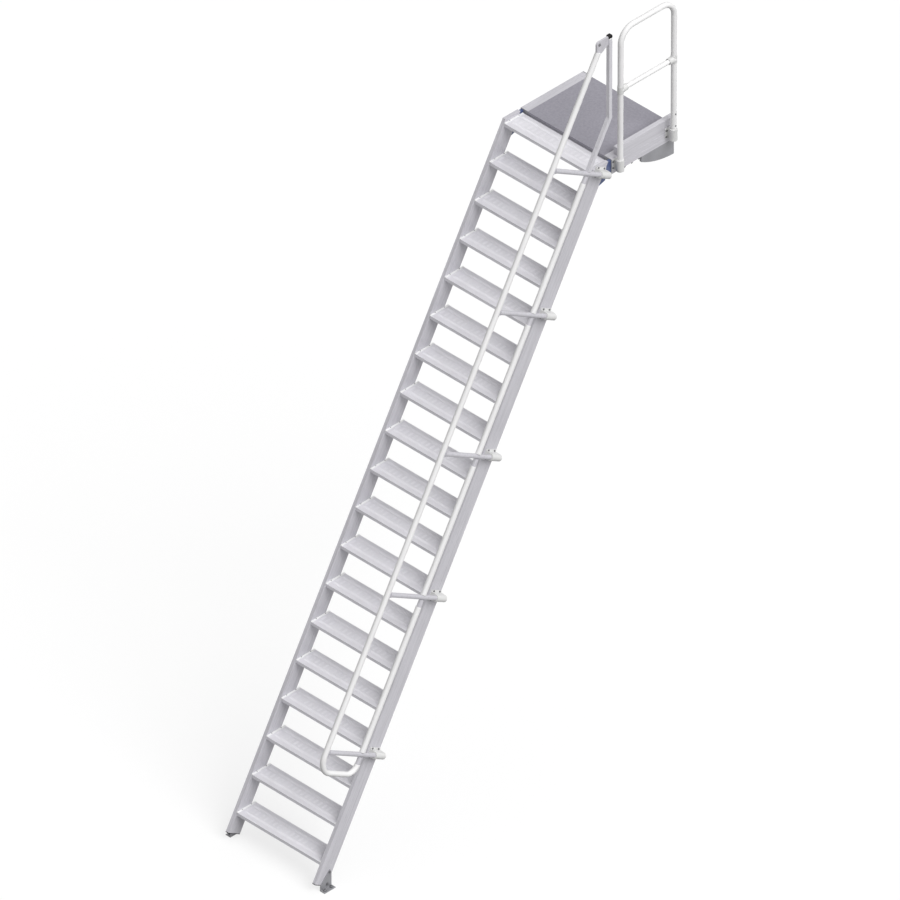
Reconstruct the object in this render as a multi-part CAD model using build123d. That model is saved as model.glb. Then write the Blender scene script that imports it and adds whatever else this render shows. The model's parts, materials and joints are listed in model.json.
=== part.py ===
from build123d import *
import math
import os

# A steep aluminium stair with one handrail and a small guarded platform at its head, fixed to a wall.
# X runs across the stair to the right, Y is the climb direction and Z is up. Millimetres.
# Places on the slope are given by s, the way up along the strings from their foot, and n, the way
# out in front of the strings' front edges. Everything is laid out from the floor and moved at the
# end so that the origin lies on the wall face of the platform's rear cross member.
# Round tubes are closed bars here, because nothing shows of their bores.

# Stair geometry
slope_deg = 60.0
rise = 245.0
tread_count = 19
first_tread_z = 209.2
clear_width = 800.0
seat_gap = 0.2

# Strings
string_thick = 28.0
string_depth = 123.0
string_wall = 2.5
string_cells = 2
string_foot_z = 77.0
string_head_rise = 0.8
groove_width = 3.0
groove_depth = 0.8
groove_count = 2
cap_thick = 5.0

# Treads
tread_depth = 175.6
tread_height = 25.0
tread_skin = 3.0
tread_web = 2.5
tread_web_count = 1
tread_lip = 14.0
nose_band = 9.0
grip_band = 28.0
front_band_y = 47.0
rear_band_y = 41.0
field_sink = 1.0
bracket_flange = 13.0
bracket_skin = 3.0

# Platform
deck_thick = 25.0
deck_depth = 589.0
deck_gap = 8.5
wall_gap = 8.0
beam_width = 68.0
beam_depth = 121.0
beam_wall = 3.0
beam_ledge = 30.0
beam_ledge_thick = 4.0
beam_cap_thick = 4.0
side_groove_drops = (41.0, 82.0)
top_groove_insets = (12.0, 41.0)
toe_thick = 38.0
toe_height = 63.0
toe_wall = 2.0
toe_setback = 60.0
cross_thick = 40.0
cross_depth = 80.0
cross_wall = 4.0
cross_setback = 12.0

# Joint plates between strings and platform
plate_thick = 20.0
plate_inset = 4.0
plate_top_drop = 8.0
plate_beam_rise = 10.0
plate_width = 48.0
plate_tail = 42.0
plate_tail_slant = 18.0
plate_corner_r = 5.0

# Feet
foot_plate_thick = 6.0
foot_plate_length = 104.0
foot_plate_setback = 43.0
foot_front_rise = 45.0
foot_top_rise = 138.0
foot_rear_rise = 110.0
foot_top_inset = 13.0
foot_flange = 45.0
foot_hole_r = 6.5
foot_hole_pitch = 60.0

# Wall brackets
wall_plate_thick = 18.0
wall_plate_length = 309.0
wall_plate_front = 44.0
wall_plate_middle = 106.0
wall_plate_rear = 127.0
wall_flange_width = 60.0
wall_flange_thick = 10.0
wall_hole_r = 6.5
wall_hole_pitch = 80.0

# Handrail
tube_r = 20.0
rail_out = 52.0
rail_height = 507.0
lower_rail_height = 124.0
rail_bend_r = 120.0
lower_bend_r = 78.0
u_bend_s = 833.0
arm_r = 17.0
arm_pitch = 1039.0
first_arm_s = 984.0
head_arm_drop = 10.0
arm_count = 5
arm_tail_depth = 115.0
sleeve_length = 72.0
sleeve_r = 17.0
clamp_length = 100.0
clamp_height = 76.0
clamp_base = 9.0
clamp_r = 25.0

# Upright post at the head of the handrail
post_side = 28.0
post_wall = 2.5
post_guard_gap = 107.5
post_cap_thick = 5.0

# Elbow plate between the handrail and the upright post
elbow_thick = 16.0
elbow_reach = 92.3
elbow_rise = 91.0
elbow_top_drop = 6.0
elbow_foot_drop = 65.0
elbow_under_rail = 30.0
elbow_corner_r = 24.0

# Guard
guard_front_gap = 33.0
guard_rear_gap = 49.0
guard_rise = 1068.0
guard_mid_drop = 484.0
guard_bend_r = 117.0
mid_rail_r = 17.0
flare_r = 25.0
flare_length = 34.0
guard_sleeve_r = 27.0
guard_sleeve_height = 90.0
guard_sleeve_drop = 79.0
guard_sleeve_floor = 4.0
guard_web_thick = 26.0
guard_web_height = 74.0
guard_base_width = 60.0
guard_base_height = 80.0
guard_base_thick = 6.0

# Worked-out places
sin_s = math.sin(math.radians(slope_deg))
cos_s = math.cos(math.radians(slope_deg))
half_clear = clear_width / 2
outer_x = half_clear + string_thick
deck_half = outer_x - beam_width
rail_x = outer_x + rail_out
top_tread_z = first_tread_z + (tread_count - 1) * rise
deck_top_z = top_tread_z + deck_thick
string_top_z = deck_top_z + string_head_rise


def slope_y(s, n):
    return s * cos_s - n * sin_s


def slope_z(s, n):
    return string_foot_z + s * sin_s + n * cos_s


def slope_point(x, s, n):
    return (x, slope_y(s, n), slope_z(s, n))


def edge_y(z, n=0.0):
    """Where the line along the slope at n in front of the strings is at height z."""
    s = (z - string_foot_z - n * cos_s) / sin_s
    return slope_y(s, n)


deck_front_y = edge_y(top_tread_z) + tread_depth + deck_gap
deck_rear_y = deck_front_y + deck_depth
wall_y = deck_rear_y + wall_gap
beam_bottom_z = deck_top_z - beam_depth
cross_top_z = deck_top_z - deck_thick - beam_ledge_thick
cross_mid_z = cross_top_z - cross_depth / 2
origin_shift = Pos(0, -wall_y, -cross_mid_z)
guard_front_y = deck_front_y + guard_front_gap
guard_rear_y = deck_rear_y - guard_rear_gap
guard_top_z = deck_top_z + guard_rise
guard_sleeve_z = deck_top_z - guard_sleeve_drop
post_y = guard_front_y - post_guard_gap
post_front_y = post_y - post_side / 2
post_bend_s = (post_y + lower_rail_height * sin_s) / cos_s
elbow_mouth_s = (post_front_y - elbow_reach + rail_height * sin_s) / cos_s
post_top_z = slope_z(elbow_mouth_s, rail_height) + elbow_rise
head_arm_s = (string_top_z - string_foot_z) / sin_s - head_arm_drop
upper_arm_places = [head_arm_s - i * arm_pitch for i in range(arm_count - 1)]
arm_places = [first_arm_s] + upper_arm_places[::-1]


def save(name, *solids):
    moved = [origin_shift * s for s in solids]
    shape = moved[0] if len(moved) == 1 else Compound(children=moved)
    export_step(shape, f"parts/{name}.step")


def block(x0, x1, y0, y1, z0, z1):
    """A plain block between two corners."""
    return Pos((x0 + x1) / 2, (y0 + y1) / 2, (z0 + z1) / 2) * Box(x1 - x0, y1 - y0, z1 - z0)


def side_plate(outline, x0, x1):
    """A plate cut to an outline drawn in the side view, from x0 to x1."""
    face = Plane(origin=(x0, 0, 0), x_dir=(0, 1, 0), z_dir=(1, 0, 0)) * make_face(outline)
    return extrude(face, x1 - x0)


def handed(shape, side):
    """A shape drawn for the right-hand side, or its mirror image for the left."""
    return shape if side > 0 else mirror(shape, Plane.YZ)


def bar(path, r):
    """A round bar along a path."""
    start = Plane(origin=path @ 0, z_dir=path % 0)
    return sweep(start * Circle(r), path=path)


# Strings
def string_section():
    """The hollow section of a string, with shallow grooves along its four faces."""
    section = Pos(string_thick / 2, string_depth / 2) * Rectangle(string_thick, string_depth)
    cell = (string_depth - (string_cells + 1) * string_wall) / string_cells
    for i in range(string_cells):
        middle = string_wall + cell / 2 + i * (cell + string_wall)
        section -= Pos(string_thick / 2, middle) * Rectangle(string_thick - 2 * string_wall, cell)
    for i in range(groove_count):
        y = string_depth * (i + 1) / (groove_count + 1)
        for x in (0, string_thick):
            section -= Pos(x, y) * Rectangle(2 * groove_depth, groove_width)
    for y in (0, string_depth):
        section -= Pos(string_thick / 2, y) * Rectangle(groove_width, 2 * groove_depth)
    return section


def string_plane(x0):
    return Plane(origin=(x0, 0, string_foot_z), x_dir=(1, 0, 0), z_dir=(0, cos_s, sin_s))


def string_at(x0):
    """A string, square at its foot and cut level at its head."""
    length = (string_top_z - string_foot_z) / sin_s + string_depth
    body = extrude(string_plane(x0) * string_section(), length)
    cut_z = string_top_z - cap_thick
    return body - block(x0 - string_thick, x0 + 2 * string_thick, 0, 2 * wall_y, cut_z, 2 * string_top_z)


def foot_cap(x0):
    face = Pos(string_thick / 2, string_depth / 2) * Rectangle(string_thick, string_depth)
    return extrude(string_plane(x0) * face, -cap_thick)


def head_cap(x0):
    y0 = edge_y(string_top_z - cap_thick)
    y1 = y0 + string_depth / sin_s
    return block(x0, x0 + string_thick, y0, y1, string_top_z - cap_thick, string_top_z)


# Treads
def tread_section():
    """Side view of a tread: a top with sunk fields between its bands, webs, and lips below."""
    section = Pos(tread_depth / 2, -tread_skin / 2) * Rectangle(tread_depth, tread_skin)
    for i in range(tread_web_count + 2):
        y = tread_web / 2 + (tread_depth - tread_web) * i / (tread_web_count + 1)
        section += Pos(y, -tread_height / 2) * Rectangle(tread_web, tread_height)
    for y in (tread_lip / 2, tread_depth - tread_lip / 2):
        section += Pos(y, tread_web / 2 - tread_height) * Rectangle(tread_lip, tread_web)
    half = grip_band / 2
    rear_middle = tread_depth - rear_band_y
    fields = [
        (nose_band, front_band_y - half),
        (front_band_y + half, rear_middle - half),
        (rear_middle + half, tread_depth - nose_band),
    ]
    for start, end in fields:
        section -= Pos((start + end) / 2, 0) * Rectangle(end - start, 2 * field_sink)
    return section


def tread_at(index):
    z = first_tread_z + index * rise
    half = half_clear - bracket_skin
    plane = Plane(origin=(-half, edge_y(z), z), x_dir=(0, 1, 0), z_dir=(1, 0, 0))
    return extrude(plane * tread_section(), 2 * half)


def tread_bracket(index, side):
    """The angle that carries a tread's end: a cheek on the string and a strip over the tread."""
    z = first_tread_z + index * rise
    y = edge_y(z)
    top = z + bracket_skin
    cheek = block(half_clear - bracket_skin, half_clear, y, y + tread_depth, z - tread_height, top)
    strip = block(half_clear - bracket_flange, half_clear, y, y + tread_depth, z, top)
    return handed(cheek + strip, side)


# Platform
def beam_section():
    """A side beam's hollow section, drawn from its lower inner corner, with a ledge for the deck."""
    section = Pos(beam_width / 2, beam_depth / 2) * Rectangle(beam_width, beam_depth)
    section -= Pos(beam_width / 2, beam_depth / 2) * Rectangle(
        beam_width - 2 * beam_wall, beam_depth - 2 * beam_wall
    )
    for drop in side_groove_drops:
        section -= Pos(beam_width, beam_depth - drop) * Rectangle(2 * groove_depth, groove_width)
    for inset in top_groove_insets:
        section -= Pos(beam_width - inset, beam_depth) * Rectangle(groove_width, 2 * groove_depth)
    ledge_z = beam_depth - deck_thick - beam_ledge_thick / 2
    section += Pos(-beam_ledge / 2, ledge_z) * Rectangle(beam_ledge, beam_ledge_thick)
    return section


def side_beam(side):
    start = Plane(
        origin=(deck_half, deck_front_y + beam_cap_thick, beam_bottom_z), x_dir=(1, 0, 0), z_dir=(0, -1, 0)
    )
    return handed(extrude(start * beam_section(), beam_cap_thick - deck_depth), side)


def beam_cap(side, y0, y1):
    return handed(block(deck_half, outer_x, y0, y1, beam_bottom_z, deck_top_z), side)


def cross_member(y0):
    """A hollow cross member between the side beams, under their ledges."""
    y1 = y0 + cross_thick
    z0 = cross_top_z - cross_depth
    outer = block(-deck_half, deck_half, y0, y1, z0, cross_top_z)
    inner = block(
        -deck_half, deck_half, y0 + cross_wall, y1 - cross_wall, z0 + cross_wall, cross_top_z - cross_wall
    )
    return outer - inner


def toe_board():
    """A hollow board with a closed front end, on top of the right-hand beam."""
    x0 = outer_x - toe_thick
    y0 = deck_front_y + toe_setback
    z1 = deck_top_z + toe_height
    board = block(x0, outer_x, y0, wall_y, deck_top_z, z1)
    return board - block(
        x0 + toe_wall, outer_x - toe_wall, y0 + toe_wall, wall_y, deck_top_z + toe_wall, z1 - toe_wall
    )


# Joint plates, feet and wall brackets
def joint_plate(side):
    """The plate behind a string's rear face that ties its head to the side beam's end."""
    top_z = string_top_z - plate_top_drop
    low_z = beam_bottom_z + plate_beam_rise
    tail_z = beam_bottom_z - plate_tail
    rear_n = -string_depth
    outline = FilletPolyline(
        (edge_y(top_z, rear_n), top_z),
        (deck_front_y, top_z),
        (deck_front_y, low_z),
        (edge_y(low_z - plate_tail_slant, rear_n - plate_width), low_z - plate_tail_slant),
        (edge_y(tail_z + plate_tail_slant, rear_n - plate_width), tail_z + plate_tail_slant),
        (edge_y(tail_z, rear_n), tail_z),
        radius=[0, 0, 0, plate_corner_r, plate_corner_r, 0],
        close=True,
    )
    x1 = outer_x - plate_inset
    return handed(side_plate(outline, x1 - plate_thick, x1), side)


def foot_bracket(side):
    """A plate on the outer face of a string, with a flange on the floor turned outwards."""
    y0 = foot_plate_setback
    y1 = y0 + foot_plate_length
    outline = Polyline(
        (y0, 0),
        (y1, 0),
        (y1, foot_rear_rise),
        (y1 - foot_top_inset, foot_top_rise),
        (y0, foot_front_rise),
        close=True,
    )
    foot = side_plate(outline, outer_x, outer_x + foot_plate_thick)
    foot += block(outer_x, outer_x + foot_flange, y0, y1, 0, foot_plate_thick)
    hole_x = outer_x + (foot_flange + foot_plate_thick) / 2
    for i in (-1, 1):
        y = (y0 + y1 + i * foot_hole_pitch) / 2
        foot -= Pos(hole_x, y, 0) * Cylinder(foot_hole_r, 4 * foot_plate_thick)
    return handed(foot, side)


def wall_bracket(side):
    """A curved gusset under the side beam with a flange against the wall."""
    y0 = wall_y - wall_plate_length
    z1 = beam_bottom_z
    low = z1 - wall_plate_rear
    front = (y0, z1 - wall_plate_front)
    curve = ThreePointArc(front, (y0 + wall_plate_length / 2, z1 - wall_plate_middle), (wall_y, low))
    outline = curve + Polyline((wall_y, low), (wall_y, z1), (y0, z1), front)
    bracket = side_plate(outline, outer_x - wall_plate_thick, outer_x)
    bracket += block(outer_x - wall_flange_width, outer_x, wall_y - wall_flange_thick, wall_y, low, z1)
    hole_x = outer_x - (wall_flange_width + wall_plate_thick) / 2
    for i in (-1, 1):
        z = (low + z1 + i * wall_hole_pitch) / 2
        bracket -= Pos(hole_x, wall_y, z) * Rot(90, 0, 0) * Cylinder(wall_hole_r, 4 * wall_flange_thick)
    return handed(bracket, side)


# Handrail
def handrail():
    """The main rail: down the slope and round a U at its foot to the lower rail's line."""
    path = FilletPolyline(
        slope_point(rail_x, elbow_mouth_s, rail_height),
        slope_point(rail_x, u_bend_s, rail_height),
        slope_point(rail_x, u_bend_s, lower_rail_height),
        slope_point(rail_x, first_arm_s - sleeve_length, lower_rail_height),
        radius=[rail_bend_r, lower_bend_r],
    )
    return bar(path, tube_r)


def rail_line(s0, s1, n):
    return Line(slope_point(rail_x, s0, n), slope_point(rail_x, s1, n))


def along_lower_rail(s0, s1, r):
    return bar(rail_line(s0, s1, lower_rail_height), r)


def lower_rails():
    pairs = zip(arm_places[:-1], arm_places[1:])
    return [along_lower_rail(low + arm_r + seat_gap, high - sleeve_length, tube_r) for low, high in pairs]


def sleeve_at(s):
    """The short spigot under an arm that a length of lower rail plugs onto."""
    return along_lower_rail(s - sleeve_length, s - arm_r - seat_gap, sleeve_r)


def arm_at(s):
    """An arm from its clamp to the main rail, hollowed at its end to fit against the rail."""
    tail = slope_point(rail_x, s, -arm_tail_depth)
    arm = bar(Line(tail, slope_point(rail_x, s, rail_height)), arm_r)
    return arm - bar(rail_line(s - 2 * arm_r, s + 2 * arm_r, rail_height), tube_r + seat_gap)


def arm_clamp(s):
    """The clamp that holds an arm's tail on the outer face of the string: a base, a web and an eye."""
    section = Circle(clamp_r)
    section += Pos(-rail_out / 2, 0) * Rectangle(rail_out, 2 * clamp_r)
    section += Pos(clamp_base / 2 - rail_out, 0) * Rectangle(clamp_base, clamp_height)
    back = Plane(origin=slope_point(rail_x, s, -arm_tail_depth), x_dir=(1, 0, 0), z_dir=(0, -sin_s, cos_s))
    return extrude(back * (section - Circle(arm_r + seat_gap)), clamp_length)


# Upright post
def upright_post():
    """A square tube that goes on up from the lower rail and turns upright."""
    path = Polyline(
        slope_point(rail_x, arm_places[-1] + arm_r + seat_gap, lower_rail_height),
        slope_point(rail_x, post_bend_s, lower_rail_height),
        (rail_x, post_y, post_top_z - post_cap_thick),
    )
    start = Plane(origin=path @ 0, x_dir=(1, 0, 0), z_dir=path % 0)
    inner = post_side - 2 * post_wall
    ring = start * (Rectangle(post_side, post_side) - Rectangle(inner, inner))
    return sweep(ring, path=path, transition=Transition.RIGHT)


def post_cap():
    x0 = rail_x - post_side / 2
    return block(
        x0, x0 + post_side, post_front_y, post_front_y + post_side, post_top_z - post_cap_thick, post_top_z
    )


def rail_connector():
    """The elbow plate from the end of the main rail to the upright post."""
    top_z = post_top_z - elbow_top_drop
    front_y = slope_y(elbow_mouth_s, rail_height + tube_r)
    outline = FilletPolyline(
        (front_y, slope_z(elbow_mouth_s, rail_height + tube_r)),
        (front_y, top_z),
        (post_front_y, top_z),
        (post_front_y, post_top_z - elbow_foot_drop),
        slope_point(rail_x, elbow_mouth_s, rail_height - elbow_under_rail)[1:],
        radius=[0, elbow_corner_r, 0, 0, 0],
        close=True,
    )
    return side_plate(outline, rail_x - elbow_thick / 2, rail_x + elbow_thick / 2)


# Guard
def guard_hoop():
    """The guard's two posts and top rail, bent from one tube."""
    foot_z = guard_sleeve_z + guard_sleeve_floor + seat_gap
    path = FilletPolyline(
        (rail_x, guard_front_y, foot_z),
        (rail_x, guard_front_y, guard_top_z),
        (rail_x, guard_rear_y, guard_top_z),
        (rail_x, guard_rear_y, foot_z),
        radius=guard_bend_r,
    )
    return bar(path, tube_r)


def guard_mid_rail():
    """The rail between the guard's posts, flared at its ends and hollowed to fit against them."""
    z = guard_top_z - guard_mid_drop
    neck = tube_r + flare_length
    profile = Polyline(
        (0, guard_front_y),
        (flare_r, guard_front_y),
        (mid_rail_r, guard_front_y + neck),
        (mid_rail_r, guard_rear_y - neck),
        (flare_r, guard_rear_y),
        (0, guard_rear_y),
        close=True,
    )
    rail = revolve(Pos(rail_x, 0, z) * make_face(profile), Axis((rail_x, 0, z), (0, 1, 0)))
    for y in (guard_front_y, guard_rear_y):
        rail -= Pos(rail_x, y, z) * Cylinder(tube_r + seat_gap, 4 * tube_r)
    return rail


def guard_clamp(y):
    """A bracket on the side beam with a sleeve that holds a post of the guard."""
    z0 = guard_sleeve_z
    half_web = guard_web_thick / 2
    half_base = guard_base_width / 2
    clamp = Pos(rail_x, y, z0 + guard_sleeve_height / 2) * Cylinder(guard_sleeve_r, guard_sleeve_height)
    clamp += block(outer_x, rail_x, y - half_web, y + half_web, z0, z0 + guard_web_height)
    clamp += block(
        outer_x, outer_x + guard_base_thick, y - half_base, y + half_base, z0 - guard_sleeve_floor,
        z0 - guard_sleeve_floor + guard_base_height,
    )
    bore_z = z0 + guard_sleeve_floor + guard_sleeve_height / 2
    return clamp - Pos(rail_x, y, bore_z) * Cylinder(tube_r + seat_gap, guard_sleeve_height)


os.makedirs("parts", exist_ok=True)

save("stringer_left", string_at(-outer_x))
save("stringer_right", string_at(half_clear))
save("stringer_foot_caps", foot_cap(-outer_x), foot_cap(half_clear))
save("stringer_head_caps", head_cap(-outer_x), head_cap(half_clear))
for index in range(tread_count):
    save(f"tread_{index + 1:02d}", tread_at(index))
save("tread_brackets_left", *[tread_bracket(i, -1) for i in range(tread_count)])
save("tread_brackets_right", *[tread_bracket(i, 1) for i in range(tread_count)])

save("deck_panel", block(-deck_half, deck_half, deck_front_y, deck_rear_y, top_tread_z, deck_top_z))
save("side_beam_left", side_beam(-1))
save("side_beam_right", side_beam(1))
front_caps = [beam_cap(side, deck_front_y, deck_front_y + beam_cap_thick) for side in (-1, 1)]
rear_caps = [beam_cap(side, deck_rear_y, wall_y) for side in (-1, 1)]
save("beam_end_caps", *front_caps, *rear_caps)
save("toe_board", toe_board())
save("cross_member_front", cross_member(deck_front_y + cross_setback))
save("cross_member_rear", cross_member(wall_y - cross_thick))

save("joint_plate_left", joint_plate(-1))
save("joint_plate_right", joint_plate(1))
save("foot_bracket_left", foot_bracket(-1))
save("foot_bracket_right", foot_bracket(1))
save("wall_bracket_left", wall_bracket(-1))
save("wall_bracket_right", wall_bracket(1))

save("handrail", handrail())
save("lower_rail", *lower_rails())
save("rail_sleeves", *[sleeve_at(s) for s in arm_places])
save("arm_clamps", *[arm_clamp(s) for s in arm_places])
for index, s in enumerate(arm_places):
    save(f"handrail_arm_{index + 1}", arm_at(s))
save("upright_post", upright_post())
save("upright_cap", post_cap())
save("rail_connector", rail_connector())

save("guard_hoop", guard_hoop())
save("guard_mid_rail", guard_mid_rail())
save("guard_clamps", guard_clamp(guard_front_y), guard_clamp(guard_rear_y))
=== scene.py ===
import json
import math

import bmesh
import bpy
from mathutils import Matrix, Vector


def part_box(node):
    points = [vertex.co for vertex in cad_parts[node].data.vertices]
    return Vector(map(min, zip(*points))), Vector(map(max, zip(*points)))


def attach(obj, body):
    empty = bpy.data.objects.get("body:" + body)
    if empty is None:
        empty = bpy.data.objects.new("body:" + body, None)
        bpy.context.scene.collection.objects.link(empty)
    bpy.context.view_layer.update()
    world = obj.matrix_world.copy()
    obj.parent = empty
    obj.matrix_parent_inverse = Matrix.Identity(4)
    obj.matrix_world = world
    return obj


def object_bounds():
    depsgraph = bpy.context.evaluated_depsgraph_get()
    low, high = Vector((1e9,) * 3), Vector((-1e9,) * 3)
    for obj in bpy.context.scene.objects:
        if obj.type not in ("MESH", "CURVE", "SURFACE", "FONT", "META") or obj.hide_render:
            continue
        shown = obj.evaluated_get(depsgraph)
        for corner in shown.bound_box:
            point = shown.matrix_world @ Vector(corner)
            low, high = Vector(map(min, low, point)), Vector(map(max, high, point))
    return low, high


# The dressed platform stair: finishes for every part, and the small pieces that the frame leaves out.
# X runs across the stair to the right, Y is the climb direction and Z is up, in metres, with the
# origin on the wall face of the platform's rear cross member.

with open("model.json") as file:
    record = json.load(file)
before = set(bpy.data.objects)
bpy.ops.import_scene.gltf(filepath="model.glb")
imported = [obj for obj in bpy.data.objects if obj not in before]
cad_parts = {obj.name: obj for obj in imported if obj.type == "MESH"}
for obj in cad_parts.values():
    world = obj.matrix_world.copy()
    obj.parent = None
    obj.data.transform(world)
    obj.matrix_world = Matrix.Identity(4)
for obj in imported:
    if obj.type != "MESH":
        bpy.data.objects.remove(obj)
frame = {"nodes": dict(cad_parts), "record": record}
nodes = frame["nodes"]
cad_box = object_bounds()

slope = math.radians(60)
up_slope = Vector((0, math.cos(slope), math.sin(slope)))
off_slope = Vector((0, -math.sin(slope), math.cos(slope)))
across = Vector((1, 0, 0))
climb = Vector((0, 1, 0))
up = Vector((0, 0, 1))
floor_z = cad_box[0].z
sides = {"left": -1, "right": 1}


# Materials

# Places of a colour mix's sockets, whose names repeat for other kinds of value
mix_factor = 0
mix_first = 6
mix_second = 7
mix_result = 2


class Shader:
    """A node material with a Principled shader, and helpers that add to it."""

    def __init__(self, name, color, roughness, metallic=0.0):
        self.material = bpy.data.materials.new(name)
        self.material.use_nodes = True
        self.nodes = self.material.node_tree.nodes
        self.links = self.material.node_tree.links
        self.bsdf = self.nodes["Principled BSDF"]
        self.bsdf.inputs["Base Color"].default_value = (*color, 1)
        self.bsdf.inputs["Roughness"].default_value = roughness
        self.bsdf.inputs["Metallic"].default_value = metallic
        self.place = self.nodes.new("ShaderNodeNewGeometry").outputs["Position"]

    def node(self, kind, **inputs):
        """A new node; an input is linked where it is a socket, and set where it is a value."""
        made = self.nodes.new(kind)
        for key, value in inputs.items():
            socket = made.inputs[key.replace("_", " ")]
            if isinstance(value, bpy.types.NodeSocket):
                self.links.new(value, socket)
            else:
                socket.default_value = value
        return made

    def noise(self, scale, detail, stretch=(1, 1, 1), turn=(0, 0, 0)):
        """Noise over the stair, turned and then scaled by a different amount along each axis."""
        turned = self.node("ShaderNodeMapping", Vector=self.place, Rotation=turn).outputs["Vector"]
        spot = self.node("ShaderNodeMapping", Vector=turned, Scale=stretch).outputs["Vector"]
        return self.node("ShaderNodeTexNoise", Vector=spot, Scale=scale, Detail=detail).outputs["Fac"]

    def spread(self, value, low, high, new_low, new_high):
        """A value mapped from one range to another, and clamped."""
        made = self.node("ShaderNodeMapRange", Value=value)
        made.inputs["From Min"].default_value = low
        made.inputs["From Max"].default_value = high
        made.inputs["To Min"].default_value = new_low
        made.inputs["To Max"].default_value = new_high
        return made.outputs["Result"]

    def mixed(self, factor, first, second):
        """Two colours mixed by a factor; each colour is a socket or its three channels."""
        made = self.nodes.new("ShaderNodeMix")
        made.data_type = "RGBA"
        self.links.new(factor, made.inputs[mix_factor])
        for place, value in ((mix_first, first), (mix_second, second)):
            if isinstance(value, bpy.types.NodeSocket):
                self.links.new(value, made.inputs[place])
            else:
                made.inputs[place].default_value = (*value, 1)
        return made.outputs[mix_result]

    def edges(self, radius):
        """1 near the piece's edges and 0 on its flat faces."""
        rounded = self.node("ShaderNodeBevel", Radius=radius)
        true = self.nodes.new("ShaderNodeNewGeometry").outputs["True Normal"]
        match = self.nodes.new("ShaderNodeVectorMath")
        match.operation = "DOT_PRODUCT"
        self.links.new(rounded.outputs["Normal"], match.inputs[0])
        self.links.new(true, match.inputs[1])
        return self.spread(match.outputs["Value"], low=0.9, high=0.995, new_low=1.0, new_high=0.0)

    def color(self, socket):
        self.links.new(socket, self.bsdf.inputs["Base Color"])

    def roughness(self, socket):
        self.links.new(socket, self.bsdf.inputs["Roughness"])

    def specular(self, level):
        self.bsdf.inputs["Specular IOR Level"].default_value = level

    def bump(self, height, strength, distance):
        """Relief from a height, on top of any relief that is there."""
        made = self.node("ShaderNodeBump", Height=height, Strength=strength, Distance=distance)
        if self.bsdf.inputs["Normal"].is_linked:
            self.links.new(self.bsdf.inputs["Normal"].links[0].from_socket, made.inputs["Normal"])
        self.links.new(made.outputs["Normal"], self.bsdf.inputs["Normal"])

    def grain(self, scale, strength, distance, detail=2.0, stretch=(1, 1, 1)):
        """Fine relief from noise."""
        self.bump(self.noise(scale, detail, stretch), strength, distance)


def shade(color, factor):
    return tuple(min(1.0, channel * factor) for channel in color)


cloud_detail = 4.0
patch_detail = 3.0
patches_per_cloud = 9
duller = 0.08
glossier = 0.06


def worn(name, color, roughness, metallic, drift, scale, edge_factor, edge_radius=0.002):
    """A finish whose colour and gloss wander a little, with wear along its edges."""
    shader = Shader(name, color, roughness, metallic)
    cloud = shader.noise(scale, cloud_detail)
    depth = shader.spread(cloud, low=0.35, high=0.65, new_low=0.0, new_high=1.0)
    ground = shader.mixed(depth, shade(color, 1 - drift), color)
    speckle = shader.noise(scale * patches_per_cloud, patch_detail)
    patches = shader.spread(speckle, low=0.35, high=0.6, new_low=0.0, new_high=1.0)
    rub = shader.nodes.new("ShaderNodeMath")
    rub.operation = "MULTIPLY"
    shader.links.new(shader.edges(edge_radius), rub.inputs[0])
    shader.links.new(patches, rub.inputs[1])
    shader.color(shader.mixed(rub.outputs[0], ground, shade(color, edge_factor)))
    gloss = shader.spread(cloud, low=0.3, high=0.7, new_low=roughness + duller,
                          new_high=roughness - glossier)
    shader.roughness(gloss)
    return shader


mill_color = (0.60, 0.59, 0.63)
# A lighter copy of the mill colour for the upright post: painted light that brightens the post where
# its faces fall in shade
post_painted_light_color = (0.67, 0.66, 0.70)
tread_color = (0.76, 0.75, 0.79)
grip_color = (0.79, 0.78, 0.82)
bright_color = (0.90, 0.90, 0.90)
tube_color = (0.87, 0.865, 0.868)
plastic_color = (0.70, 0.70, 0.695)
deck_color = (0.32, 0.31, 0.355)
steel_color = (0.31, 0.31, 0.33)
blue_color = (0.08, 0.11, 0.24)
black_color = (0.009, 0.008, 0.009)
zinc_color = (0.20, 0.20, 0.21)
# Near-black grey: painted shade, for the shaded hollows of the arms' tube ends and the bolt heads
# under the side beams
painted_shade_color = (0.10, 0.10, 0.11)
low_gloss = 0.15
die_line_factor = 0.8

# Lines run along the direction whose scale is small
along_across = (0.02, 1, 1)
along_climb = (1, 0.02, 1)
along_up = (1, 1, 0.02)
drawn_up = (1, 1, 0.3)
# Turns the strings' length onto the climb direction
string_turn = (-slope, 0, 0)


def mill_aluminium(name, color, stretch, turn=(0, 0, 0)):
    """Extruded aluminium: die lines along its length, faint clouds and a dull sheen."""
    shader = worn(name, color, roughness=0.46, metallic=0.2, drift=0.06, scale=3.0, edge_factor=1.12)
    lines = shader.noise(scale=130.0, detail=2.0, stretch=stretch, turn=turn)
    plain = shader.bsdf.inputs["Base Color"].links[0].from_socket
    depth = shader.spread(lines, low=0.45, high=0.62, new_low=0.0, new_high=0.5)
    shader.color(shader.mixed(depth, plain, shade(color, die_line_factor)))
    shader.bump(lines, strength=0.3, distance=0.0005)
    shader.grain(scale=220.0, strength=0.1, distance=0.0003)
    return shader.material


def tread_aluminium():
    """Extruded across the stair, so its die lines run that way."""
    shader = worn("tread_aluminium", tread_color, roughness=0.5, metallic=0.2, drift=0.07,
                  scale=6.0, edge_factor=1.1)
    shader.grain(scale=420.0, strength=0.2, distance=0.0004, stretch=along_across)
    shader.grain(scale=260.0, strength=0.12, distance=0.0003)
    return shader.material


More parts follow.
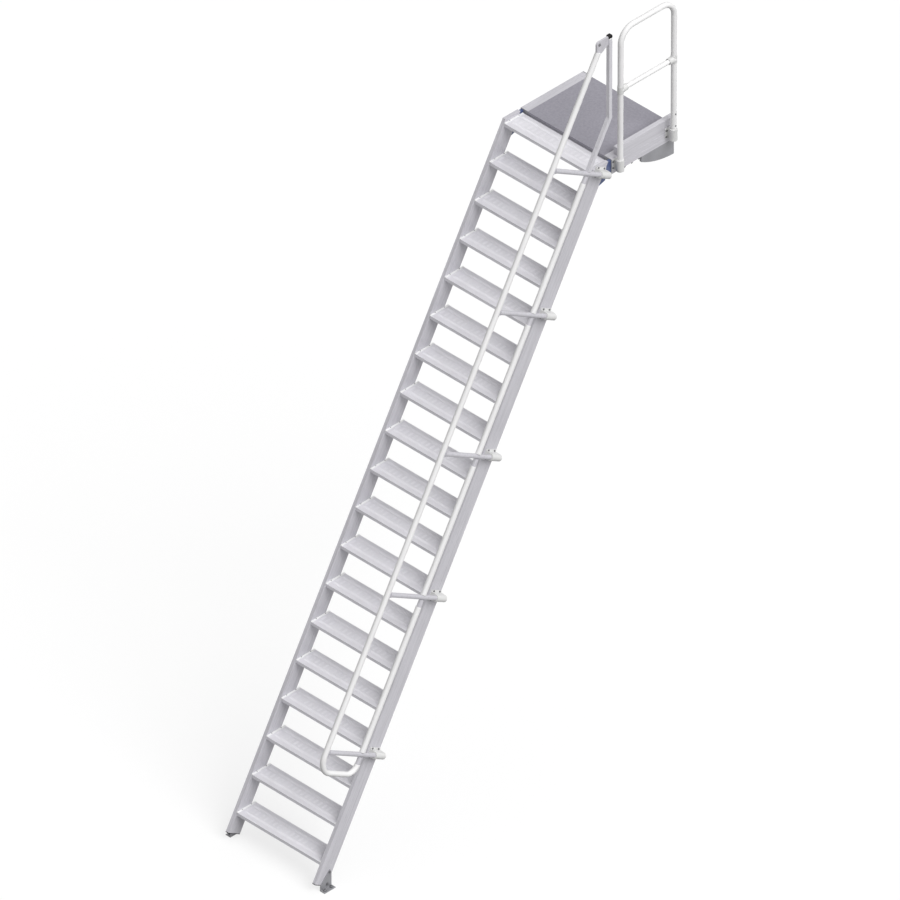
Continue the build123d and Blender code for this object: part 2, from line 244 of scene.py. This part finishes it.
def grip_aluminium():
    """The grip teeth and bars, rubbed a little brighter than the tread round them."""
    shader = worn("grip_aluminium", grip_color, roughness=0.55, metallic=0.1, drift=0.08,
                  scale=20.0, edge_factor=1.05, edge_radius=0.001)
    shader.grain(scale=600.0, strength=0.2, distance=0.0003)
    return shader.material


def bright_aluminium():
    shader = worn("bright_aluminium", bright_color, roughness=0.45, metallic=0.05, drift=0.04,
                  scale=8.0, edge_factor=1.03)
    shader.grain(scale=400.0, strength=0.1, distance=0.0003)
    return shader.material


def rail_tube():
    """Satin tube, with faint marks drawn out upwards and a few dull places."""
    shader = worn("rail_tube", tube_color, roughness=0.5, metallic=0.0, drift=0.04,
                  scale=5.0, edge_factor=1.05)
    shader.specular(low_gloss)
    shader.grain(scale=380.0, strength=0.08, distance=0.0003, stretch=drawn_up)
    return shader.material


def light_plastic():
    shader = worn("light_plastic", plastic_color, roughness=0.5, metallic=0.0, drift=0.05,
                  scale=12.0, edge_factor=1.05)
    shader.grain(scale=900.0, strength=0.15, distance=0.0002, detail=1.0)
    return shader.material


def deck_surface():
    """Anti-slip board: a dense grit under a dull mottled coat, darker along its edges."""
    shader = worn("deck_surface", deck_color, roughness=0.7, metallic=0.0, drift=0.1,
                  scale=60.0, edge_factor=0.75, edge_radius=0.004)
    grit = shader.node("ShaderNodeTexVoronoi", Vector=shader.place, Scale=260.0)
    shader.bump(grit.outputs["Distance"], strength=0.5, distance=0.0012)
    return shader.material


def grey_steel():
    """A grey coat with an orange-peel surface, rubbed bright at its edges."""
    shader = worn("grey_steel", steel_color, roughness=0.45, metallic=0.2, drift=0.1,
                  scale=9.0, edge_factor=1.5)
    shader.grain(scale=350.0, strength=0.15, distance=0.0004)
    return shader.material


def blue_paint():
    shader = worn("blue_paint", blue_color, roughness=0.35, metallic=0.0, drift=0.12,
                  scale=14.0, edge_factor=1.8)
    shader.grain(scale=500.0, strength=0.1, distance=0.0003)
    return shader.material


def black_plastic():
    shader = worn("black_plastic", black_color, roughness=0.5, metallic=0.0, drift=0.2,
                  scale=30.0, edge_factor=1.6, edge_radius=0.001)
    shader.specular(low_gloss)
    shader.grain(scale=1200.0, strength=0.2, distance=0.0002, detail=1.0)
    return shader.material


def zinc_plate():
    """Zinc-plated bolts: a fine mottle and brighter corners."""
    shader = worn("zinc_plate", zinc_color, roughness=0.4, metallic=0.5, drift=0.25,
                  scale=60.0, edge_factor=1.7, edge_radius=0.0008)
    shader.grain(scale=900.0, strength=0.1, distance=0.0002)
    return shader.material


def painted_shade_grey():
    """Dark grey painted shade: the shaded inside of the arms' open tube ends, and the bolts under the
    side beams darkened as if they sat in shadow.
    """
    shader = worn("painted_shade_grey", painted_shade_color, roughness=0.7, metallic=0.3, drift=0.2,
                  scale=40.0, edge_factor=1.3, edge_radius=0.0006)
    shader.grain(scale=700.0, strength=0.2, distance=0.0003)
    return shader.material


finishes = {
    "mill_aluminium": mill_aluminium("mill_aluminium", mill_color, along_climb, string_turn),
    "tread_aluminium": tread_aluminium(),
    "bright_aluminium": bright_aluminium(),
    "rail_tube": rail_tube(),
    "light_plastic": light_plastic(),
    "deck_surface": deck_surface(),
    "grey_steel": grey_steel(),
    "blue_paint": blue_paint(),
    "black_plastic": black_plastic(),
}
grip_finish = grip_aluminium()
zinc_finish = zinc_plate()
# The painted shade finish, for the tube hollows and the bolts under the side beams
painted_shade_finish = painted_shade_grey()

beam_finish = mill_aluminium("beam_aluminium", mill_color, along_climb)
# The upright post's aluminium uses the lighter copy of the mill colour: painted light against its
# shade
post_painted_light_finish = mill_aluminium("post_aluminium_painted_light", post_painted_light_color, along_up)
level_finish = mill_aluminium("level_aluminium", mill_color, along_across)
other_lines = {
    "side_beam": beam_finish,
    "toe": beam_finish,
    "upright": post_painted_light_finish,
    "cross": level_finish,
}


def node_finish(node, slot):
    """The finish of a node; extrusions that don't lie along the strings have lines of their own, and
    the upright post's finish is a lighter copy of the mill colour, painted light.
    """
    if slot == "mill_aluminium":
        for prefix, finish in other_lines.items():
            if node.startswith(prefix):
                return finish
    return finishes[slot]


for part in frame["record"]["subparts"]:
    slots = nodes[part["node"]].data.materials
    slots.clear()
    slots.append(node_finish(part["node"], part["material_slot"]))


# Shapes

# An axis with a larger share of x than this counts as lying along X
along_x = 0.9


def basis(axis):
    """Two directions square to an axis and to each other."""
    first = across if abs(axis.x) < along_x else climb
    first = (first - axis * first.dot(axis)).normalized()
    return first, axis.cross(first)


def loop(mesh, centre, first, second, places):
    return [mesh.verts.new(centre + first * a + second * b) for a, b in places]


def bridge(mesh, low, high):
    count = len(low)
    for i in range(count):
        j = (i + 1) % count
        mesh.faces.new((low[i], low[j], high[j], high[i]))


def skin(mesh, loops):
    """Faces from loop to loop, closed by a face at each end."""
    for low, high in zip(loops[:-1], loops[1:]):
        bridge(mesh, low, high)
    mesh.faces.new(loops[0][::-1])
    mesh.faces.new(loops[-1])


def circle(radius, count, phase=0.0):
    turns = [phase + 2 * math.pi * i / count for i in range(count)]
    return [(radius * math.cos(turn), radius * math.sin(turn)) for turn in turns]


def stadium(half_width, half_length, count):
    """A slot's outline: straight sides along the second direction, with round ends."""
    straight = half_length - half_width
    points = []
    for a, b in circle(half_width, count, math.pi / count):
        points.append((a, b + math.copysign(straight, b)))
    return points


def turned_loops(mesh, place, axis, rings, count, phase=0.0):
    """Loops round an axis: each ring is a radius and a height along it."""
    first, second = basis(axis)
    return [loop(mesh, place + axis * h, first, second, circle(r, count, phase)) for r, h in rings]


def lathe(mesh, place, axis, rings, count):
    """A closed turned form, from its first ring to its last."""
    skin(mesh, turned_loops(mesh, place, axis, rings, count))


def pipe(mesh, place, axis, rings, count, phase=0.0):
    """A closed ring-shaped form, whose profile of radius and height runs round and joins itself."""
    loops = turned_loops(mesh, place, axis, rings, count, phase)
    for low, high in zip(loops, loops[1:] + loops[:1]):
        bridge(mesh, low, high)


washer_thick = 0.0015
clamp_bolt_radius = 0.0058
foot_bolt_radius = 0.0087
anchor_radius = 0.0098
guard_screw_radius = 0.0065
strip_screw_radius = 0.0036
washer_sides = 24
hex_sides = 6
stud_sides = 20
screw_sides = 16

# Radius and height of each ring, as shares of the fastener's own radius
washer_share = 1.25
hex_height = 0.72
hex_profile = ((1, 0), (1, 0.8 * hex_height), (0.86, hex_height))
stud_profile = ((0.55, 0), (0.55, 0.7), (0.44, 0.9))
pan_profile = ((1, 0), (1, 0.25), (0.8, 0.5), (0.4, 0.62))
pin_profile = ((1, 0), (1, 0.3), (0.8, 0.6), (0.4, 0.75))


def head(mesh, place, axis, profile, radius, count):
    """A turned head from its profile."""
    lathe(mesh, place, axis, [(share * radius, height * radius) for share, height in profile], count)


def washer(mesh, place, axis, radius):
    """A washer under a head of this radius; gives the place on top of it."""
    outer = washer_share * radius
    lathe(mesh, place, axis, [(outer, 0), (outer, washer_thick)], washer_sides)
    return place + axis * washer_thick


def hex_bolt(mesh, place, axis, radius):
    """A hexagon head with a chamfered top, on its washer. radius is to its corners."""
    head(mesh, washer(mesh, place, axis, radius), axis, hex_profile, radius, hex_sides)


def anchor(mesh, place, axis, radius):
    """A threaded anchor's end, standing out of its nut and washer."""
    hex_bolt(mesh, place, axis, radius)
    top = place + axis * (washer_thick + hex_height * radius)
    head(mesh, top, axis, stud_profile, radius, stud_sides)


def pan_head(mesh, place, axis, radius):
    """A low domed screw head."""
    head(mesh, place, axis, pan_profile, radius, screw_sides)


sharp_angle = math.radians(32)


def add_piece(name, mesh, finish):
    """Turns a mesh into a piece of the stair, smooth but for its sharp edges."""
    bmesh.ops.recalc_face_normals(mesh, faces=mesh.faces)
    for face in mesh.faces:
        face.smooth = True
    for edge in mesh.edges:
        edge.smooth = edge.calc_face_angle(0.0) < sharp_angle
    data = bpy.data.meshes.new(name)
    mesh.to_mesh(data)
    mesh.free()
    data.materials.append(finish)
    piece = bpy.data.objects.new(name, data)
    bpy.context.scene.collection.objects.link(piece)
    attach(piece, "root")


# Treads: grip teeth along the raised bands, broad bars between them, and the screws in the end strips
tread_nodes = sorted(name for name in nodes if name.startswith("tread_") and name[-1].isdigit())
grip_pitch = {"tooth": 0.0124, "bar": 0.041}
grip_half_length = {"tooth": 0.0115, "bar": 0.0240}
grip_half_width = {"tooth": 0.0036, "bar": 0.0100}
grip_rise = {"tooth": 0.0012, "bar": 0.0011}
grip_lip = {"tooth": 0.0011, "bar": 0.0022}
grip_sides = {"tooth": 8, "bar": 16}
grip_middle = 0.3
field_sink = 0.001
front_band = 0.047
rear_band = 0.041
strip_thick = 0.003
strip_width = 0.013
grip_margin = 0.026


def grip_form(mesh, place, kind):
    """A slot-shaped tooth or bar, its lip raised round a sunk middle."""
    rise = grip_rise[kind]
    loops = []
    for step, height in ((0, 0), (1, rise), (2, grip_middle * rise)):
        inset = step * grip_lip[kind]
        half_width = grip_half_width[kind] - inset
        half_length = grip_half_length[kind] - inset
        outline = stadium(half_width, half_length, grip_sides[kind])
        loops.append(loop(mesh, place + up * height, across, climb, outline))
    skin(mesh, loops)


def tread_grip(node):
    """Teeth along both raised bands of a tread, and bars along the field between them."""
    low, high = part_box(node)
    reach = (high.x - low.x) / 2 - grip_margin
    front, rear = low.y + front_band, high.y - rear_band
    middle = (front + rear) / 2
    rows = ((front, high.z, "tooth"), (rear, high.z, "tooth"), (middle, high.z - field_sink, "bar"))
    mesh = bmesh.new()
    for y, z, kind in rows:
        count = int(reach / grip_pitch[kind])
        for i in range(-count, count + 1):
            grip_form(mesh, Vector((i * grip_pitch[kind], y, z)), kind)
    add_piece(node + "_grip", mesh, grip_finish)


def strip_screws():
    """Two screws in the strip at each end of each tread."""
    mesh = bmesh.new()
    for node in tread_nodes:
        low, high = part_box(node)
        for side in sides.values():
            x = side * (high.x + strip_thick - strip_width / 2)
            for y in (low.y + front_band, high.y - rear_band):
                pan_head(mesh, Vector((x, y, high.z + strip_thick)), up, strip_screw_radius)
    add_piece("strip_screws", mesh, zinc_finish)


# Handrail: saddles where the arms meet the rail, clamp bolts and the arms' open tails
arm_nodes = sorted(name for name in nodes if name.startswith("handrail_arm_"))
arm_length = 0.622
arm_wall = 0.0025
arm_sides = 32
# Thickness of the thin dark disc inside each arm's open tail: painted shade for the tube's shaded
# inside
shade_disc_thick = 0.0005
tube_radius = 0.020
fit_gap = 0.0002
saddle_half_length = 0.023
saddle_half_angle = math.radians(78)
saddle_thick = 0.0026
saddle_steps = 14
collar_length = 0.016
collar_straight = 0.6 * collar_length
collar_thick = 0.003
collar_flare = 0.002
clamp_thick = 0.009
clamp_length = 0.100
tab_offset = 0.0315
tab_bolt_inset = 0.018


def arm_tail(node):
    """The middle of an arm's tail, and the arm's radius."""
    low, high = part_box(node)
    radius = (high.x - low.x) / 2
    y = high.y - radius * math.cos(slope)
    z = low.z + radius * math.sin(slope)
    return Vector(((low.x + high.x) / 2, y, z)), radius


def saddle(mesh, centre):
    """A curved plate on the rail's lower side, under the arm's end."""
    inner = tube_radius + fit_gap
    outer = inner + saddle_thick
    loops = []
    for i in range(saddle_steps + 1):
        turn = saddle_half_angle * (2 * i / saddle_steps - 1)
        direction = -off_slope * math.cos(turn) + across * math.sin(turn)
        corners = []
        for along, radius in ((-1, inner), (1, inner), (1, outer), (-1, outer)):
            corner = centre + direction * radius + up_slope * along * saddle_half_length
            corners.append(mesh.verts.new(corner))
        loops.append(corners)
    skin(mesh, loops)


def rail_saddles():
    """A curved plate and a flared collar where each arm meets the rail."""
    mesh = bmesh.new()
    for node in arm_nodes:
        tail, radius = arm_tail(node)
        on_rail = tail + off_slope * arm_length
        saddle(mesh, on_rail)
        foot = on_rail - off_slope * (tube_radius + collar_length)
        inner = radius + fit_gap
        outer = inner + collar_thick
        rings = [(inner, 0), (outer, 0), (outer, collar_straight),
                 (outer + collar_flare, collar_length), (inner, collar_length)]
        pipe(mesh, foot, off_slope, rings, arm_sides)
    add_piece("rail_saddles", mesh, finishes["mill_aluminium"])


def clamp_bolts():
    """Four bolts through each arm's clamp."""
    mesh = bmesh.new()
    face_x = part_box("stringer_right")[1].x + clamp_thick
    for node in arm_nodes:
        tail = arm_tail(node)[0]
        for along in (-1, 1):
            for out in (tab_bolt_inset, clamp_length - tab_bolt_inset):
                place = tail + up_slope * along * tab_offset + off_slope * out
                hex_bolt(mesh, Vector((face_x, place.y, place.z)), across, clamp_bolt_radius)
    add_piece("clamp_bolts", mesh, zinc_finish)


def arm_tails():
    """The open tails of the arms: a tube's rim round a thin dark disc, painted shade standing in for
    the shaded inside of the tube.
    """
    rims = bmesh.new()
    shade_discs = bmesh.new()
    for node in arm_nodes:
        tail, radius = arm_tail(node)
        bore = radius - arm_wall
        shade_disc_radius = bore - fit_gap
        rim = [(bore, 0), (radius, 0), (radius, arm_wall), (bore, arm_wall)]
        pipe(rims, tail, -off_slope, rim, arm_sides)
        # A thin dark disc just inside the rim: painted shade for the shaded hollow of the tube
        lathe(shade_discs, tail, -off_slope, [(shade_disc_radius, 0), (shade_disc_radius, shade_disc_thick)], arm_sides)
    add_piece("arm_tail_rims", rims, finishes["mill_aluminium"])
    add_piece("arm_tail_painted_shade", shade_discs, painted_shade_finish)


# Rail head: the pin through the elbow plate, and the skirt and collar of the post's cap
pin_inset = 0.023
pin_radius = 0.009
pin_sides = 24
cap_skirt_height = 0.015
cap_collar_height = 0.010
cap_collar_gap = 0.0002
cap_collar_thick = 0.0008
square_sides = 4
square_phase = math.pi / 4
square_corner = math.sqrt(2)


def elbow_pin():
    """The pin's head, on its washer, on each side of the elbow plate."""
    low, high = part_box("rail_connector")
    mesh = bmesh.new()
    for x, axis in ((high.x, across), (low.x, -across)):
        place = Vector((x, low.y + pin_inset, high.z - pin_inset))
        top = washer(mesh, place, axis, pin_radius)
        head(mesh, top, axis, pin_profile, pin_radius, pin_sides)
    add_piece("elbow_pin", mesh, zinc_finish)


def square_collar(name, low_z, height, slot):
    """A thin square collar round the post's head."""
    low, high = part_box("upright_cap")
    inner = ((high.x - low.x) / 2 + cap_collar_gap) * square_corner
    outer = inner + cap_collar_thick * square_corner
    rings = [(inner, 0), (outer, 0), (outer, height), (inner, height)]
    place = Vector(((low.x + high.x) / 2, (low.y + high.y) / 2, low_z))
    mesh = bmesh.new()
    pipe(mesh, place, up, rings, square_sides, square_phase)
    add_piece(name, mesh, finishes[slot])


def cap_trim():
    """The black skirt of the post's cap, and a bright collar under it."""
    skirt_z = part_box("upright_cap")[0].z - cap_skirt_height
    square_collar("cap_skirt", skirt_z, cap_skirt_height, "black_plastic")
    square_collar("cap_collar", skirt_z - cap_collar_height, cap_collar_height, "bright_aluminium")


# Guard: its middle rail's sockets, the bolts of its two clamps and the screws in its rear post
socket_start = 0.012
socket_mouth = 0.0245
socket_neck = 0.0205
socket_thick = 0.0022
socket_length = 0.042
socket_sides = 40
post_collar_height = 0.056
post_collar_thick = 0.0024
guard_base_thick = 0.006
guard_bolt_out = 0.022
guard_bolt_rises = (0.012, 0.062)
rear_screw_rises = (0.138, 0.043)


def guard_sockets():
    """A collar round each post, and a flared socket that takes the middle rail's end."""
    low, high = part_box("guard_hoop")
    rail_low, rail_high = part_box("guard_mid_rail")
    x = (low.x + high.x) / 2
    z = (rail_low.z + rail_high.z) / 2
    inner = tube_radius + fit_gap
    outer = tube_radius + post_collar_thick
    height = post_collar_height
    collar = [(inner, 0), (outer, 0), (outer, height), (inner, height)]
    socket = [(socket_mouth, 0), (socket_mouth + socket_thick, 0),
              (socket_neck + socket_thick, socket_length), (socket_neck, socket_length)]
    mesh = bmesh.new()
    for y, along in ((low.y + tube_radius, climb), (high.y - tube_radius, -climb)):
        pipe(mesh, Vector((x, y, z - height / 2)), up, collar, socket_sides)
        pipe(mesh, Vector((x, y, z)) + along * socket_start, along, socket, socket_sides)
    add_piece("guard_sockets", mesh, finishes["light_plastic"])


def guard_bolts():
    """Four bolts in each clamp's base, and two screws in the rear post."""
    low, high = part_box("guard_hoop")
    base_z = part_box("guard_clamps")[0].z
    face_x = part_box("side_beam_right")[1].x + guard_base_thick
    deck_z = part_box("deck_panel")[1].z
    mesh = bmesh.new()
    for y in (low.y + tube_radius, high.y - tube_radius):
        for along in (-1, 1):
            for rise in guard_bolt_rises:
                place = Vector((face_x, y + along * guard_bolt_out, base_z + rise))
                hex_bolt(mesh, place, across, clamp_bolt_radius)
    for rise in rear_screw_rises:
        place = Vector((high.x, high.y - tube_radius, deck_z + rise))
        pan_head(mesh, place, across, guard_screw_radius)
    add_piece("guard_bolts", mesh, zinc_finish)


# Feet, wall brackets and the bolts under the side beams
foot_thick = 0.006
foot_hole_half = 0.030
foot_bolt_places = ((0.061, 0.033), (0.087, 0.118))
wall_hole_half = 0.040
wall_flange_thick = 0.010
wall_flange_middle = 0.039
beam_bolt_start = 0.135
beam_bolt_pitch = 0.067
beam_bolt_count = 3
beam_bolt_inset = 0.012


def foot_fixings(side_name):
    """Two bolts through the string's end, and two anchors in the floor."""
    side = sides[side_name]
    low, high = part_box("foot_bracket_" + side_name)
    plate_x = side * (min(abs(low.x), abs(high.x)) + foot_thick)
    hole_x = (plate_x + side * max(abs(low.x), abs(high.x))) / 2
    mesh = bmesh.new()
    for back, rise in foot_bolt_places:
        place = Vector((plate_x, low.y + back, low.z + rise))
        hex_bolt(mesh, place, across * side, foot_bolt_radius)
    for along in (-1, 1):
        place = Vector((hole_x, (low.y + high.y) / 2 + along * foot_hole_half, low.z + foot_thick))
        anchor(mesh, place, up, anchor_radius)
    add_piece("foot_fixings_" + side_name, mesh, zinc_finish)


def wall_fixings(side_name):
    """Two anchors in the wall."""
    side = sides[side_name]
    low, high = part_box("wall_bracket_" + side_name)
    x = side * (max(abs(low.x), abs(high.x)) - wall_flange_middle)
    middle = (low.z + high.z) / 2
    mesh = bmesh.new()
    for along in (-1, 1):
        place = Vector((x, high.y - wall_flange_thick, middle + along * wall_hole_half))
        anchor(mesh, place, -climb, anchor_radius)
    add_piece("wall_fixings_" + side_name, mesh, zinc_finish)


def beam_bolts():
    """Bolts under the side beams, in front of the wall brackets; their dark grey finish is painted
    shade, as if the heads sat in shadow.
    """
    mesh = bmesh.new()
    for side_name, side in sides.items():
        low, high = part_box("side_beam_" + side_name)
        x = side * (max(abs(low.x), abs(high.x)) - beam_bolt_inset)
        for i in range(beam_bolt_count):
            place = Vector((x, low.y + beam_bolt_start + i * beam_bolt_pitch, low.z))
            anchor(mesh, place, -up, anchor_radius)
    add_piece("beam_bolts", mesh, painted_shade_finish)


for node in tread_nodes:
    tread_grip(node)
strip_screws()
rail_saddles()
clamp_bolts()
arm_tails()
elbow_pin()
cap_trim()
guard_sockets()
guard_bolts()
for side_name in sides:
    foot_fixings(side_name)
    wall_fixings(side_name)
beam_bolts()


# Stage
floor_glow = 0.75
floor_half = 60.0
floor_drop = 0.0015
floor_white = (0.97, 0.97, 0.97)
floor_bounce = (0.18, 0.18, 0.18)
floor_roughness = 0.9
ambient = 0.46
top_strength = 0.25
top_from = Vector((0.10, 0.05, 1.0))
top_angle = math.radians(50)
side_strength = 2.42
side_from = Vector((0.71, -0.02, 0.71))
side_angle = math.radians(40)


def unlit_rays(tree):
    """1 for rays that should meet plain white: direct ones, and those in gloss or through glass."""
    path = tree.nodes.new("ShaderNodeLightPath")
    total = path.outputs["Is Camera Ray"]
    for name in ("Is Glossy Ray", "Is Transmission Ray"):
        most = tree.nodes.new("ShaderNodeMath")
        most.operation = "MAXIMUM"
        tree.links.new(total, most.inputs[0])
        tree.links.new(path.outputs[name], most.inputs[1])
        total = most.outputs[0]
    return total


def floor_material():
    """A white floor that shows a faint shadow, and throws little light back on the stair."""
    shader = Shader("floor", floor_white, floor_roughness)
    shader.specular(0.0)
    unlit = unlit_rays(shader.material.node_tree)
    shader.color(shader.mixed(unlit, floor_bounce, floor_white))
    glow = shader.node("ShaderNodeEmission", Color=(1, 1, 1, 1), Strength=1.0)
    share = shader.node("ShaderNodeMath")
    share.operation = "MULTIPLY"
    shader.links.new(unlit, share.inputs[0])
    share.inputs[1].default_value = floor_glow
    mix = shader.nodes.new("ShaderNodeMixShader")
    shader.links.new(share.outputs[0], mix.inputs[0])
    shader.links.new(shader.bsdf.outputs[0], mix.inputs[1])
    shader.links.new(glow.outputs[0], mix.inputs[2])
    shader.links.new(mix.outputs[0], shader.nodes["Material Output"].inputs["Surface"])
    return shader.material


def make_floor():
    mesh = bpy.data.meshes.new("floor")
    z = floor_z - floor_drop
    signs = ((-1, -1), (1, -1), (1, 1), (-1, 1))
    corners = [(x * floor_half, y * floor_half, z) for x, y in signs]
    mesh.from_pydata(corners, [], [(0, 1, 2, 3)])
    mesh.materials.append(floor_material())
    floor = bpy.data.objects.new("floor", mesh)
    bpy.context.scene.collection.objects.link(floor)


def make_world():
    """White all round for direct rays and in gloss, and a plain ambient light for the rest."""
    world = bpy.data.worlds.new("studio")
    world.use_nodes = True
    tree = world.node_tree
    background = tree.nodes["Background"]
    background.inputs["Color"].default_value = (1, 1, 1, 1)
    level = tree.nodes.new("ShaderNodeMapRange")
    tree.links.new(unlit_rays(tree), level.inputs["Value"])
    level.inputs["To Min"].default_value = ambient
    level.inputs["To Max"].default_value = 1.0
    tree.links.new(level.outputs["Result"], background.inputs["Strength"])
    bpy.context.scene.world = world


def make_lamp(name, strength, direction, angle):
    lamp = bpy.data.lights.new(name, "SUN")
    lamp.energy = strength
    lamp.angle = angle
    sun = bpy.data.objects.new(name, lamp)
    sun.rotation_mode = "QUATERNION"
    sun.rotation_quaternion = (-direction).to_track_quat("-Z", "Y")
    bpy.context.scene.collection.objects.link(sun)


# Camera: a very long lens, so that the view is all but parallel
view_azimuth = math.radians(44.97)
view_elevation = math.radians(35.90)
view_target = Vector((0.0, 1.7083, 2.5902))
view_width = 6.0424
lens_mm = 1400.0
sensor_mm = 36.0
near_clip = 1.0


def make_camera():
    """Looks down on the stair from its right front, from far off."""
    data = bpy.data.cameras.new("camera")
    data.lens = lens_mm
    data.sensor_width = sensor_mm
    distance = view_width * lens_mm / sensor_mm
    data.clip_start = near_clip
    data.clip_end = 2 * distance
    camera = bpy.data.objects.new("camera", data)
    flat = math.cos(view_elevation)
    x = math.sin(view_azimuth) * flat
    y = -math.cos(view_azimuth) * flat
    back = Vector((x, y, math.sin(view_elevation)))
    foot = Vector((0.0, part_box("stringer_right")[0].y, floor_z))
    camera.location = foot + view_target + back * distance
    camera.rotation_mode = "QUATERNION"
    camera.rotation_quaternion = (-back).to_track_quat("-Z", "Y")
    bpy.context.scene.collection.objects.link(camera)
    bpy.context.scene.camera = camera


make_floor()
make_world()
make_lamp("top", top_strength, top_from, top_angle)
make_lamp("side", side_strength, side_from, side_angle)
make_camera()
bpy.context.scene.view_settings.view_transform = "Standard"
